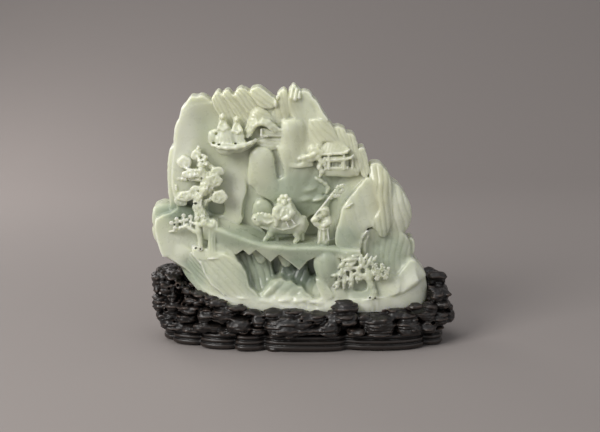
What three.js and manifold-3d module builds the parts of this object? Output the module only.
// A pale jade boulder carved as a mountain landscape, seated in a dark carved
// hardwood stand. Millimetres, +Z up, the carved front faces -Y. The origin is
// at the middle of the footprint, on the surface the stand's feet rest on.
import * as THREE from 'three';
import { mergeVertices } from 'three/addons/utils/BufferGeometryUtils.js';
import { ConvexGeometry } from 'three/addons/geometries/ConvexGeometry.js';
import Module from 'manifold-3d';

// ---------------------------------------------------------------- dimensions
// The front elevation is drawn on a 600 x 432 sheet as it is seen from 12
// degrees above at 1275 mm, so a place is given as (u, v) on that sheet and a
// depth y in millimetres. One sheet unit is about 0.885 mm on the stone.
const SHEET_U = 300, SHEET_V = 216, SHEET_SCALE = 1416.67;
const SIGHT_TILT = (12 * Math.PI) / 180, SIGHT_DISTANCE = 1275;
const SIGHT_X = -2, SIGHT_Z = 113;

const SEAT_HALF_LENGTH = 113;   // jade's footprint inside the stand
const SEAT_FRONT = -38;
const SEAT_BACK = 37;
const SEAT_POWER = 2.7;         // how square the footprint's corners are
const SEAT_GAP = 0.35;          // clearance between stone and wood
const SEAT_X = 1;
const SEAT_FLOOR = 33;          // height of the jade's underside
const RIM_TOP = 74;             // above this the stone is free of the stand

const STAND_HALF_LENGTH = 128;
const STAND_FRONT = -50;
const STAND_BACK = 45;
const STAND_X = 2;
const FOOT_HEIGHT = 1.6;
const MOULDING_TOP = 16;

const ROAD_FRONT = -35;         // outer edge of the carved road
const ROAD_BACK = -4;
const WALL_Y = -13;             // the cliff face behind the figures

// ------------------------------------------------------------------- helpers
const wasm = await Module();
wasm.setup();

const sinT = Math.sin(SIGHT_TILT), cosT = Math.cos(SIGHT_TILT);
function at(u, v, y) {
  const a = (SHEET_V - v) / SHEET_SCALE;
  const lift = (a * (SIGHT_DISTANCE + y * cosT) - y * sinT) / (cosT + a * sinT);
  const reach = SIGHT_DISTANCE + y * cosT - lift * sinT;
  return new THREE.Vector3(SIGHT_X + ((u - SHEET_U) * reach) / SHEET_SCALE, y, SIGHT_Z + lift);
}
const unit = (y) => (SIGHT_DISTANCE + y) / SHEET_SCALE; // mm per sheet unit

function wave(p, seed) {
  return 0.5 * Math.sin(p.x * 2.9 + seed * 1.7 + 1.3 * Math.sin(p.z * 2.3 + seed))
    + 0.3 * Math.sin(p.z * 3.7 + seed * 2.9 + Math.sin(p.y * 3.1 - seed))
    + 0.2 * Math.sin(p.y * 4.3 + seed * 0.7 + p.x * 2.1);
}

function solid(geometry) {
  const g = geometry.clone();
  g.deleteAttribute('normal');
  g.deleteAttribute('uv');
  const m = mergeVertices(g, 1e-4);
  return new wasm.Manifold(new wasm.Mesh({
    numProp: 3,
    vertProperties: new Float32Array(m.attributes.position.array),
    triVerts: new Uint32Array(m.index.array),
  }));
}
const joined = (list) => list.reduce((a, b) => a.add(b));

// A crag: the hull of two upright discs given as [u, v, radius] on the sheet,
// running back from yFront to yBack, its front edge softened all round.
function crag([u0, v0, r0], [u1, v1, r1], yFront, yBack, soft = 4) {
  const p = at(u0, v0, yFront), q = at(u1, v1, yFront), s = unit(yFront);
  const points = [];
  for (const [c, r] of [[p, r0 * s], [q, r1 * s]]) {
    const sides = r > 20 ? 10 : r > 12 ? 6 : 5, inner = Math.max(r - soft, r * 0.4);
    for (let i = 0; i < sides; i++) {
      const t = ((i + 0.25) / sides) * Math.PI * 2;
      for (const [rr, y] of soft ? [[inner, yFront], [r, yFront + soft], [r, yBack]] : [[r, yFront], [r, yBack]])
        points.push(new THREE.Vector3(c.x + rr * Math.cos(t), y, c.z + rr * Math.sin(t)));
    }
  }
  return wedge(points);
}

// A boulder: a rounded lump with uneven faces, centred at (u, v, y), with
// half-sizes along the sheet in sheet units, half-depth in mm, and a turn.
function boulder(u, v, y, ru, rv, ry, turn = 0, rough = 0.1, detail = Math.max(ru, rv) < 11.5 ? 0 : 1) {
  const g = new THREE.IcosahedronGeometry(1, detail);
  const a = g.attributes.position, p = new THREE.Vector3();
  const c = at(u, v, y), s = unit(y), seed = u * 0.37 + v * 0.11;
  for (let i = 0; i < a.count; i++) {
    p.fromBufferAttribute(a, i);
    const k = 1 + rough * wave(p, seed);
    p.set(p.x * ru * s * k, p.y * ry * k, p.z * rv * s * k);
    p.applyAxisAngle(new THREE.Vector3(0, 1, 0), (turn * Math.PI) / 180);
    p.add(c);
    a.setXYZ(i, p.x, p.y, p.z);
  }
  return solid(g);
}

// A bone: the hull of two small balls, for trunks, limbs, necks and legs.
function bone([u0, v0, y0, r0], [u1, v1, y1, r1]) {
  const points = [];
  for (const [c, r] of [[at(u0, v0, y0), r0 * unit(y0)], [at(u1, v1, y1), r1 * unit(y1)]]) {
    const ball = Math.max(r0, r1) > 6 ? new THREE.IcosahedronGeometry(r, 0) : new THREE.OctahedronGeometry(r, 0);
    const g = mergeVertices(bare(ball), 1e-4);
    const a = g.attributes.position;
    for (let i = 0; i < a.count; i++)
      points.push(new THREE.Vector3(a.getX(i) + c.x, a.getY(i) + c.y, a.getZ(i) + c.z));
  }
  return solid(new ConvexGeometry(points));
}
function bare(g) { g.deleteAttribute('normal'); g.deleteAttribute('uv'); return g; }
const chain = (...stations) => stations.slice(1).map((s, i) => bone(stations[i], s));
const wedge = (points) => solid(new ConvexGeometry(points));

// ---------------------------------------------------------------------- jade
const jade = [];

// body of the boulder, behind the carving
jade.push(
  crag([197, 186, 28], [203, 121, 22], -7, 30, 0),
  crag([245, 118, 28], [236, 205, 44], -9, 33, 0),
  crag([291, 110, 21], [300, 200, 50], -9, 33, 0),
  crag([322, 128, 22], [350, 205, 44], -11, 33, 0),
  crag([384, 212, 26], [384, 262, 35], -9, 37, 0),
  crag([184, 237, 29], [226, 258, 33], -9, 33, 0),
  crag([226, 264, 34], [384, 276, 43], -9, 37, 0),
);

// left cliff: a scalloped rim standing in front of a hollowed face
jade.push(
  crag([190, 105, 8.5], [183, 125, 8], -19, 8, 3),
  crag([183, 128, 8], [179, 158, 11], -21, 8, 3),
  crag([178, 160, 11], [181, 198, 12], -23, 8, 4),
  crag([204, 102, 6.5], [196, 112, 7], -16, 12, 3),
);

// summit: overlapping slabs that run down to the right
jade.push(
  crag([217, 99, 7.5], [232, 120, 9], -17, 20, 3),
  crag([227.5, 97.5, 7], [246, 122, 9], -20, 18, 3),
  crag([241, 95.5, 7.5], [262, 116, 9], -22, 20, 3),
  crag([258, 94.5, 7.5], [276, 112, 8], -18, 22, 3),
  crag([285, 97, 8], [284, 118, 9], -15, 22, 3),
  crag([294, 93, 8], [299, 122, 11], -18, 20, 3),
  crag([305, 99, 8], [326, 132, 11], -14, 24, 4),
  crag([318, 122, 9], [334, 152, 9], -20, 18, 3),
  crag([337, 134, 7], [342, 150, 8], -18, 20, 3),
  crag([351, 142, 7.5], [352, 166, 8], -18, 20, 3),
  crag([362, 155, 6.5], [364, 176, 8], -17, 20, 3),
);

// domes in the middle and the wall below them
jade.push(
  crag([261, 158, 11], [262, 186, 14], -22, 0, 6),
  crag([292, 130, 10], [290, 156, 14], -23, 0, 6),
  crag([290, 156, 14], [296, 190, 19], -21, 0, 6),
  crag([268, 188, 14], [316, 206, 16], -18, 0, 4),
  crag([256, 117, 7.5], [262, 128, 6], -24, 6, 3),
  boulder(272, 141, -15, 9, 6, 10),
);

// upper terrace, a crescent shelf, with two seated figures on it
{
  const c = at(233, 146, -18), s = unit(-18);
  const bowl = [[0, -7], [9, -6.4], [16, -4], [21, 0], [22, 2], [20, 3], [0, 3]]
    .map(([r, z]) => new THREE.Vector2(r * s, z * s));
  const g = new THREE.LatheGeometry(bowl, 12);
  g.rotateX(Math.PI / 2);
  g.scale(1.08, 0.72, 1);
  g.rotateY(THREE.MathUtils.degToRad(4));
  g.translate(c.x, c.y, c.z);
  jade.push(solid(g));
}
const seated = (u, v, y, wide, tall, lean) => [
  bone([u + lean, v + 5, y, 3.4], [u, v + tall, y, wide]),
  boulder(u + lean * 1.4, v, y - 1, 3.3, 3.8, 3.2, 0, 0, 1),
];
jade.push(
  ...seated(224, 118, -24, 8, 25, -1),
  ...seated(238, 121, -22, 6, 22, -0.5),
  boulder(211, 137, -20, 4.5, 6, 6),
);

// cloud scrolls and shelves between terrace and domes
jade.push(
  boulder(258, 125, -22, 9, 4, 6, -10), boulder(271, 133, -18, 10, 4, 7, 4),
  boulder(301, 165, -20, 13, 4, 9, 0, 0.1, 0), boulder(309, 154, -20, 11, 5, 9, -12),
);

// pavilion: two roofs, posts and a terrace on a rock shelf
{
  const roof = (v, du, y0, y1, rise) => wedge([
    at(321 + du, v - rise, y0 + 11), at(343 + du, v - rise + 1, y0 + 9),
    at(319 + du, v - 1, y1), at(321 + du, v + 1.5, y0), at(346 + du, v + 0.5, y0 - 1), at(352 + du, v - 4, y0 + 2),
    at(352 + du, v - 1.5, y0 + 2), at(352 + du, v - 4, y1), at(321 + du, v + 3.5, y0), at(347 + du, v + 2.5, y0 - 1), at(319 + du, v + 2, y1),
  ]);
  jade.push(roof(153, 0, -27, -6, 12), roof(160, 1, -27, -6, 4));
  for (const u of [328, 344.5])
    jade.push(bone([u, 158, -25, 1.5], [u, 170, -25, 1.5]));
  jade.push(crag([330, 165, 4], [346, 165, 4], -19, 0, 1));
  jade.push(crag([331, 173, 5], [353, 173, 5], -28, 2, 2));
  jade.push(boulder(355, 172, -24, 4, 4, 5));
}

// the road: a shelf that climbs to the left, with icicle-shaped stone below
const road = [[158, 209, 8], [186, 213, 9], [210, 225, 10], [240, 237, 11], [265, 245.5, 11], [300, 248.5, 13], [352, 250, 12]];
for (let i = 1; i < road.length; i++) {
  const [u0, v0, t0] = road[i - 1], [u1, v1, t1] = road[i];
  const section = (u, v, t) => {
    const f = at(u, v, ROAD_FRONT);
    return [[0, 0], [-1.5, 1.5], [-8, 2], [ROAD_BACK - ROAD_FRONT, 0]].map(([dy, dz], k) =>
      new THREE.Vector3(f.x, f.y + (k === 3 ? dy : -dy), f.z + dz))
      .concat([new THREE.Vector3(f.x, f.y + 1, f.z - t), new THREE.Vector3(f.x, ROAD_BACK, f.z - t - 4)]);
  };
  jade.push(wedge([...section(u0, v0, t0), ...section(u1, v1, t1)]));
}
for (const [u, v, w, top, y] of [[238, 257.5, 6, 240, -33], [249.5, 256, 7, 243, -34], [259, 261, 7, 250, -27],
  [270.6, 263, 8, 247, -35], [284, 264, 7, 253, -28], [299.5, 271, 10, 250, -35], [314, 263, 6, 252, -33]])
  jade.push(wedge([...[-1, 0, 1].flatMap((k) => [at(u + k * w, top + Math.abs(k), y - 1.5), at(u + k * w, top, y + 9)]),
    at(u, v, y), at(u - 1.2, v - 2, y + 3), at(u + 1.2, v - 2, y + 3)]));

// lower left rocks and the slanting foreground slab
jade.push(
  crag([171, 225, 18], [178, 247, 15], -31, 14, 8),
  crag([182, 246, 12], [196, 262, 15], -27, 0, 4),
  crag([207, 254, 9], [212, 264, 12], -30, 0, 4),
  crag([214, 264, 14], [240, 292, 14], -36, 0, 4),
  crag([196, 270, 9], [222, 290, 9], -30, 0, 3),
);

// foot of the mountain, front: low pale humps across the grotto's mouth
jade.push(
  crag([238, 300, 10], [330, 304, 10], -37, 20, 4),
  boulder(279, 291, -27, 20, 11, 11, 0, 0.08), boulder(307, 297, -29, 14, 9, 9, 0, 0.1, 0),
  crag([330, 304, 11], [420, 300, 13], -37, 20, 4),
);

// lower right: boulders, the tall pale rock at the corner
jade.push(
  boulder(330, 268, -27, 15, 21, 12, 0, 0.07),
  boulder(335, 292, -32, 12, 8, 8, 0, 0.1, 0),
  crag([347, 264, 9], [352, 285, 14], -27, -5, 4),
  crag([411, 268, 9], [408, 293, 19], -33, 26, 6),
  crag([407, 274, 13], [400, 294, 15], -37, 10, 8),
);

// right side: three long leaf-shaped lobes hanging in front of a boulder
jade.push(
  crag([361, 186, 9], [354, 214, 15], -33, 2, 5), crag([354, 214, 15], [352, 234, 15], -33, 2, 5),
  crag([376, 175, 10.5], [381, 212, 10.5], -30, 4, 5), crag([381, 212, 10.5], [381, 231, 5.5], -30, 4, 5),
  crag([397, 192, 8], [401, 212, 11], -23, 16, 5), crag([401, 212, 11], [401, 224, 8], -23, 16, 5),
  crag([386, 244, 23], [391, 264, 19], -22, 10, 9),
  crag([408, 244, 6], [408, 252, 6], -14, 14, 3),
);

let mountain = joined(jade);

// the boulder's own outer shape: upright sides, a back that leans in towards
// the summit, and rounded ends in plan
{
  const outline = [[SEAT_BACK + 1, 0], [SEAT_BACK + 1, 96], [SEAT_BACK - 3, 132], [SEAT_BACK - 10, 170], [SEAT_BACK - 19, 205], [SEAT_BACK - 28, 236],
    [-60, 236], [-60, 0]].map(([y, z]) => new THREE.Vector2(y, z));
  const side = new THREE.ExtrudeGeometry(new THREE.Shape(outline), { depth: 300, bevelEnabled: false });
  side.rotateX(Math.PI / 2);
  side.rotateZ(Math.PI / 2);
  side.translate(-150, 0, 0);
  const plan = [];
  for (let i = 0; i <= 12; i++) {
    const t = (i / 12) * Math.PI, c = Math.cos(t), e = 2 / 2.2;
    plan.push(new THREE.Vector2(-8 + 134 * Math.sign(c) * Math.abs(c) ** e, -4 + (SEAT_BACK + 6) * Math.sin(t) ** e));
  }
  plan.push(new THREE.Vector2(-142, -60), new THREE.Vector2(126, -60));
  const column = new THREE.ExtrudeGeometry(new THREE.Shape(plan), { depth: 260, bevelEnabled: false });
  mountain = mountain.intersect(solid(side)).intersect(solid(column));
}

// hollows cut back into the mass
const hollows = [
  crag([250, 205, 9], [252, 212, 11], -60, -11, 2),
  crag([264, 208, 8], [260, 216, 10], -60, -11, 2),
  crag([254, 273, 15], [298, 275, 13], -26, 4, 2),
  crag([300, 275, 15], [306, 279, 15], -26, 4, 2),
  crag([190, 205, 6.5], [196, 208, 5], -60, -12, 1),
  crag([213, 211, 5], [219, 214, 5], -60, -9, 1),
  crag([221, 238, 4.5], [221, 247, 4.5], -60, -16, 1),
  crag([332, 208, 4.5], [333, 236, 4.5], -60, -16, 1),
  crag([369, 238, 7], [373, 258, 8], -60, -18, 1),
  crag([329, 182, 7], [334, 186, 5], -60, -17, 1),
  crag([264, 133, 4], [264, 136, 4], -60, -10, 1),
  crag([279, 163, 3], [280, 177, 4], -60, -10, 1),
];
mountain = mountain.subtract(joined(hollows));

// what stands in front of the wall once the hollows are cut
const figures = [
  boulder(263, 208, -13, 9, 8, 6),
  boulder(259, 277, -14, 12, 17, 8, 0, 0.1), boulder(290, 276, -10, 13, 8, 8, 0, 0.1, 0), boulder(305, 284, -13, 10, 12, 8, 0, 0.1, 0),
];

// rider on a horse
const HORSE_Y = -25;
figures.push(
  ...chain([299, 223, HORSE_Y, 8], [277, 226, HORSE_Y, 7], [267, 220.5, HORSE_Y - 1, 4.6], [261, 217, HORSE_Y - 1, 4.2], [254, 224.5, HORSE_Y - 1, 2.6]),
  bone([299, 226, HORSE_Y + 2, 4.5], [296, 243, HORSE_Y + 1, 2]),
  bone([301, 226, HORSE_Y - 3, 4.5], [298, 242, HORSE_Y - 3, 2]),
  bone([275, 229, HORSE_Y + 2, 3.5], [268, 240, HORSE_Y + 1, 1.8]),
  bone([278, 229, HORSE_Y - 3, 3.5], [270, 241, HORSE_Y - 2, 1.8]),
  bone([285, 208, HORSE_Y, 6.5], [286, 225, HORSE_Y, 9.5]),
  bone([281, 210, HORSE_Y - 3, 4], [275, 215, HORSE_Y - 5, 3.2]),
  boulder(283, 200, HORSE_Y - 1, 4.6, 4.8, 4.2, 0, 0, 1),
);

// attendant with a blossoming branch over the shoulder
const WALKER_Y = -27;
figures.push(
  bone([324, 219, WALKER_Y, 5], [323.5, 237, WALKER_Y, 5.6]),
  bone([323.5, 236, WALKER_Y, 4.2], [323.5, 245, WALKER_Y, 3.6]),
  ...chain([320, 219, WALKER_Y - 3, 2.6], [315, 225, WALKER_Y - 5, 2], [312, 220.5, WALKER_Y - 5, 1.8]),
  boulder(325, 211.5, WALKER_Y, 3.9, 4.3, 3.6, 0, 0, 1),
  bone([311, 221, WALKER_Y - 5, 1.3], [344, 184, WALKER_Y + 5, 1.3]),
  boulder(332, 196, WALKER_Y + 1, 5, 4, 4, 30), boulder(339, 189.5, WALKER_Y + 4, 6, 5, 5, 30),
);

// pine on the left cliff: a winding trunk and flat cloud-shaped pads
figures.push(
  ...chain([203, 219, -23, 4], [199, 205, -24, 3.2], [205, 190, -25, 2.8], [203, 168, -25, 2.4], [198, 157, -23, 1.8]),
  bone([216, 177, -25, 2], [194, 176, -25, 1.5]), bone([186, 199, -25, 2], [217, 200, -25, 2]),
  boulder(184, 163, -23, 7.5, 6, 5), boulder(196, 155, -24, 6, 6.5, 4.5), boulder(189, 176, -24, 8, 3.4, 4.5),
  boulder(217, 172.5, -24, 6.5, 4.5, 5), boulder(213.5, 181.5, -25, 9, 4.5, 5.5), boulder(221, 198, -24, 7, 6.5, 6),
  boulder(195, 190, -25, 6, 3, 4), boulder(185, 198, -25, 11, 6.5, 6, 8),
);

// second pine, lower left, with two trunks
figures.push(
  boulder(182, 222, -33, 15, 7, 6, 8), boulder(201, 222, -32, 9, 7, 6), boulder(212, 221, -31, 7, 6, 6),
  bone([198, 227, -32, 3], [201, 250, -32, 3.4]),
  bone([212, 222, -30, 5], [212, 257, -32, 6.4]),
);

// leafy tree, lower right
figures.push(
  ...chain([372, 302, -35, 3.6], [370, 278, -36, 3], [364, 271, -36, 3.2], [341, 268, -34, 1.8]),
  boulder(365, 269, -36, 7, 6.5, 4), boulder(350, 260, -34, 11, 2.6, 3.5, -10), boulder(365, 259, -34, 7, 5, 4),
  boulder(379, 272, -34, 9, 7, 4.5), boulder(341.5, 276, -35, 3.2, 10, 3), boulder(351, 279, -35, 3, 8.5, 3),
  boulder(331, 275, -35, 6.5, 2.6, 3),
);
mountain = mountain.add(joined(figures));

// the footprint that the stand takes: a squared oval with a sloping left end
function seatOutline(grow) {
  const points = [];
  for (let i = 0; i < 24; i++) {
    const t = ((i + 0.5) / 24) * Math.PI * 2, c = Math.cos(t), s = Math.sin(t);
    const e = 2 / SEAT_POWER;
    const half = s < 0 ? -SEAT_FRONT : SEAT_BACK;
    points.push(new THREE.Vector2(
      SEAT_X + (SEAT_HALF_LENGTH + grow) * Math.sign(c) * Math.abs(c) ** e,
      (half + grow) * Math.sign(s) * Math.abs(s) ** e));
  }
  return points;
}
const SEAT_SLOPE = [[-112, 70], [-93, 51], [-79, 43.5], [-64, 38.5], [-45, 35], [-20, SEAT_FLOOR], [130, SEAT_FLOOR]];
function seat(grow) {
  const column = new THREE.ExtrudeGeometry(new THREE.Shape(seatOutline(grow)), { depth: 400, bevelEnabled: false });
  const side = new THREE.Shape([
    new THREE.Vector2(SEAT_SLOPE[0][0] - 40, SEAT_SLOPE[0][1] - grow + 8),
    ...SEAT_SLOPE.map(([x, z]) => new THREE.Vector2(x, z - grow)),
    new THREE.Vector2(130, 400), new THREE.Vector2(SEAT_SLOPE[0][0] - 40, 400),
  ]);
  const above = new THREE.ExtrudeGeometry(side, { depth: 240, bevelEnabled: false });
  above.rotateX(Math.PI / 2);
  above.translate(0, 120, 0);
  return solid(column).intersect(solid(above));
}
const open = new THREE.BoxGeometry(500, 400, 400);
open.translate(0, 0, RIM_TOP + 200);
mountain = mountain.intersect(seat(0).add(solid(open)));

// --------------------------------------------------------------------- stand
// plan: a long oval whose edge is gathered into lobes that meet in cusps; the
// left end tapers back. CUSPS are the angles of the cusps, front ones first.
const CUSPS = [-1.01, -0.885, -0.68, -0.6, -0.39, -0.11, 0.14, 0.36, 0.58, 0.8].map((k) => k * Math.PI);
const LOBE_DEPTH = 3.6, LOBE_STEPS = 4;
function planPoint(lobe, step, inset) {
  const from = CUSPS[lobe], to = lobe + 1 < CUSPS.length ? CUSPS[lobe + 1] : CUSPS[0] + Math.PI * 2;
  const k = step / LOBE_STEPS, t = from + (to - from) * k;
  const c = Math.cos(t), s = Math.sin(t), e = 2 / 3;
  const swell = -LOBE_DEPTH * (1 - Math.sin(Math.PI * k) ** 0.6) - inset;
  const half = s < 0 ? -STAND_FRONT : STAND_BACK;
  const taper = s < 0 ? 1 - 0.5 * Math.max(0, -c - 0.35) : 1;
  return [STAND_X + (STAND_HALF_LENGTH + swell) * Math.sign(c) * Math.abs(c) ** e,
    (half + swell) * Math.sign(s) * Math.abs(s) ** e * taper];
}
const PROFILE = [[0, FOOT_HEIGHT], [0, 4.6], [2.6, 5.6], [1.4, 9], [4, 10.4], [2.4, MOULDING_TOP], [9, 36]];
const lathe = new THREE.LatheGeometry(
  [new THREE.Vector2(0, FOOT_HEIGHT), ...PROFILE.map(([inset, z]) => new THREE.Vector2(100 - inset, z)), new THREE.Vector2(0, 36)],
  CUSPS.length * LOBE_STEPS);
{
  const a = lathe.attributes.position, turn = (2 * Math.PI) / (CUSPS.length * LOBE_STEPS);
  for (let i = 0; i < a.count; i++) {
    const x = a.getX(i), z = a.getY(i), y = a.getZ(i);
    const r = Math.hypot(x, y);
    if (r < 1e-6) { a.setXYZ(i, STAND_X, 0, z); continue; }
    const n = CUSPS.length * LOBE_STEPS, place = ((Math.round(Math.atan2(x, y) / turn) % n) + n) % n;
    const [px, py] = planPoint(Math.floor(place / LOBE_STEPS), place % LOBE_STEPS, 100 - r);
    a.setXYZ(i, px, py, z);
  }
}
const wood = [solid(lathe)];

// rockwork: a row of rounded masses over the moulding, front, sides and back
const front = [
  [176, 325, 16, 11], [175, 300, 21, 21], [168, 283, 16, 15], [194, 297, 15, 8], [207, 316, 16, 13], [228, 316, 14, 12],
  [250, 323, 15, 12], [286, 324, 24, 15], [283, 313, 17, 7], [312, 320, 15, 10], [331, 327, 13, 11],
  [345, 319, 13, 17], [380, 325, 22, 14], [407, 326, 15, 12], [414, 309, 9, 8], [431, 319, 17, 16], [438, 300, 13, 11],
];
for (const [u, v, ru, rv] of front) {
  const x = at(u, v, 0).x;
  const e = Math.min(1, Math.abs((x - STAND_X) / (STAND_HALF_LENGTH + 4)));
  const yEdge = STAND_FRONT * (1 - e ** 2.6) ** (1 / 2.6) + 7 + (x < -60 ? (-60 - x) * 0.12 : 0);
  wood.push(boulder(u, v, yEdge, ru, rv, 12, 0, 0.12));
}
const BACK_ROCKS = 6;
for (let i = 0; i < BACK_ROCKS; i++) {
  const k = i / (BACK_ROCKS - 1), x = STAND_X + (k - 0.5) * 2 * (STAND_HALF_LENGTH - 22);
  const e = Math.abs((x - STAND_X) / STAND_HALF_LENGTH), raised = k < 0.1 ? 22 : k < 0.25 ? 9 : 0;
  const g = boulder(300, 216, 0, 28 + 2 * Math.sin(i * 2.1), 13 + raised * 0.6 + 2 * Math.sin(i * 1.7), 11, 0, 0.12);
  wood.push(g.translate([x - SIGHT_X, (STAND_BACK - 6) * (1 - e ** 3) ** (1 / 3) - 2, 27 + raised * 0.7 - SIGHT_Z]));
}
for (const [x, y, z, ru, rv, ry] of [[-116, 2, 34, 16, 26, 26], [-120, 16, 24, 13, 14, 22], [122, 4, 30, 13, 17, 26], [124, 20, 24, 11, 12, 20]])
  wood.push(boulder(300, 216, 0, ru, rv, ry, 0, 0.12).translate([x - SIGHT_X, y, z - SIGHT_Z]));

// raised rock under the stone's sloping left end
wood.push(wedge([[-118, -24, 14], [-118, 24, 14], [-56, -36, 14], [-56, 32, 14], [-120, -16, 60], [-120, 20, 60], [-106, -22, 66], [-104, 22, 66],
  [-84, -30, 50], [-84, 28, 50], [-58, -38, 40], [-58, 34, 40]].map((p) => new THREE.Vector3(...p))));

let stand = joined(wood);
stand = stand.subtract(seat(SEAT_GAP));

// feet: low flat pads under the lobes
const feet = [];
for (const [x, y] of [[-24, -42], [66, -39], [-102, -10], [114, -18], [-24, 37], [66, 36], [-98, 24], [112, 24]]) {
  const g = new THREE.CylinderGeometry(6, 5.4, FOOT_HEIGHT + 1, 6);
  g.rotateX(Math.PI / 2);
  g.translate(x, y, (FOOT_HEIGHT + 1) / 2);
  feet.push(solid(g));
}
stand = stand.add(joined(feet));
const ground = new THREE.BoxGeometry(500, 400, 200);
ground.translate(0, 0, 100);
stand = stand.intersect(solid(ground));

// --------------------------------------------------------------------- scene
// the largest body of a result, so that no loose crumb of stone is kept
function main(manifold) {
  const bodies = manifold.decompose().sort((a, b) => b.volume() - a.volume());
  return bodies[0];
}
function mesh(manifold, name, material, shift) {
  const m = main(manifold).getMesh();
  const g = new THREE.BufferGeometry();
  const p = new Float32Array(m.numVert * 3);
  for (let i = 0; i < m.numVert; i++)
    for (let k = 0; k < 3; k++) p[3 * i + k] = m.vertProperties[i * m.numProp + k];
  g.setAttribute('position', new THREE.BufferAttribute(p, 3));
  g.setIndex(new THREE.BufferAttribute(new Uint32Array(m.triVerts), 1));
  g.translate(...shift);
  const out = new THREE.Mesh(g, material);
  out.name = name;
  return out;
}
const jadeFinish = new THREE.MeshStandardMaterial({ color: 0xc3cab2, roughness: 0.35, metalness: 0 });
const woodFinish = new THREE.MeshStandardMaterial({ color: 0x1d1614, roughness: 0.4, metalness: 0 });
const span = [mountain, stand].map((s) => main(s).boundingBox());
const SHIFT = [0, 1, 2].map((k) => {
  const low = Math.min(...span.map((b) => b.min[k])), high = Math.max(...span.map((b) => b.max[k]));
  return k === 2 ? -low : -(low + high) / 2;
});

const carving = new THREE.Group();
carving.add(mesh(mountain, 'jade_mountain', jadeFinish, SHIFT));
carving.add(mesh(stand, 'wood_stand', woodFinish, SHIFT));
export default carving;
